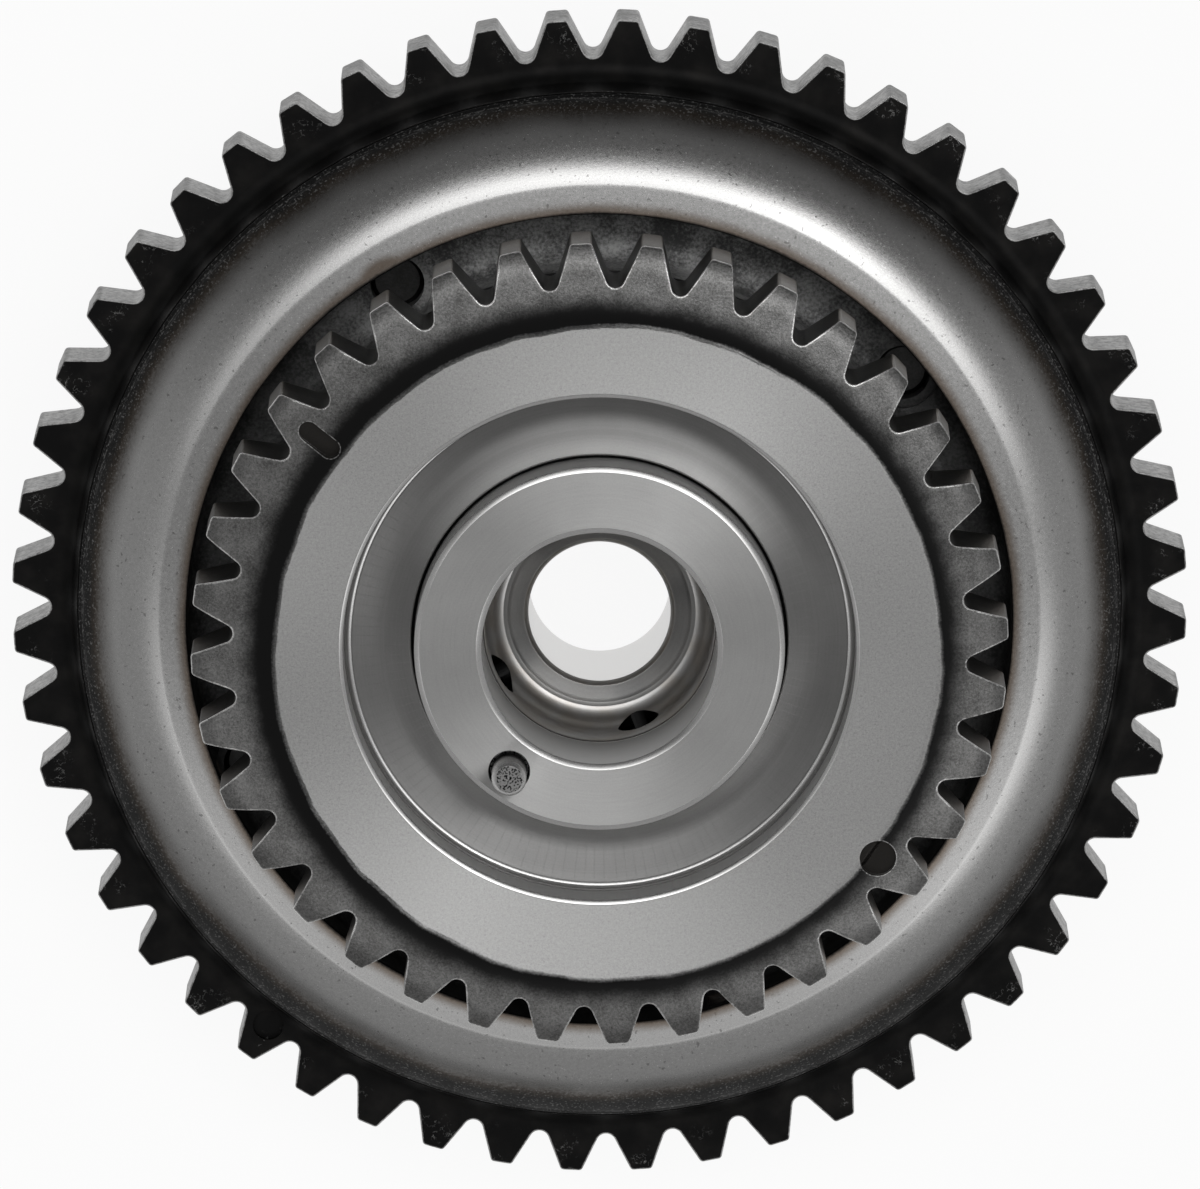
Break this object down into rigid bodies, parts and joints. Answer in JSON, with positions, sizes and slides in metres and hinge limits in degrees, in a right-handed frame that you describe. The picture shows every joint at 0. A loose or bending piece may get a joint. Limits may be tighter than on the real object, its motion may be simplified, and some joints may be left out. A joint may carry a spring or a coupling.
{
  "type": "cam phaser",
  "caption": "Vane-type cam phaser with a large and a small toothed-chain rim, a domed shoulder between them and a hub with camshaft bore, dowel and oil holes.",
  "frame": {"origin": "on the axis, at the plane that the cover bolts' heads rest on", "axes": "+Z along the axis from the cover to the camshaft side, +Y towards the top of the picture"},
  "size_m": [0.1328, 0.1328, 0.0476],
  "materials": {
    "sprocket_steel": "dark oxide teeth, satin shoulder, ground face",
    "rotor_steel": "fine turned, polished bore",
    "cover_steel": "ground plate",
    "bolt_steel": "black oxide",
    "pin_steel": "ground",
    "spring_steel": "bright spring steel",
    "seal_plastic": "moulded strip"
  },
  "bodies": {
    "housing": {"sprocket": "sprocket_steel", "front_cover": "cover_steel", "cover_bolts": "bolt_steel", "cover_dowels": "pin_steel", "lock_pin_seat": "pin_steel", "lobe_seal_1": "seal_plastic", "lobe_seal_2": "seal_plastic", "lobe_seal_3": "seal_plastic", "lobe_seal_4": "seal_plastic", "lobe_seal_spring_1": "spring_steel", "lobe_seal_spring_2": "spring_steel", "lobe_seal_spring_3": "spring_steel", "lobe_seal_spring_4": "spring_steel"},
    "rotor": {"rotor": "rotor_steel", "camshaft_dowel": "pin_steel", "lock_pin_retainer": "pin_steel", "lock_pin_spring": "spring_steel", "vane_seal_1": "seal_plastic", "vane_seal_2": "seal_plastic", "vane_seal_3": "seal_plastic", "vane_seal_4": "seal_plastic", "vane_seal_spring_1": "spring_steel", "vane_seal_spring_2": "spring_steel", "vane_seal_spring_3": "spring_steel", "vane_seal_spring_4": "spring_steel"},
    "lock_pin": {"lock_pin": "pin_steel"}
  },
  "joints": [
    {"name": "rotor_turn", "type": "hinge", "parent": "housing", "child": "rotor", "pos_m": [0, 0, 0.033], "axis": [0, 0, 1], "range_deg": [0, 25]},
    {"name": "lock_pin_slide", "type": "slide", "parent": "rotor", "child": "lock_pin", "axis": [0, 0, 1], "range_m": [-0.0025, 0], "stiffness_N_per_m": 1500, "springref_m": 0.003, "deforming": ["lock_pin_spring"]}
  ]
}
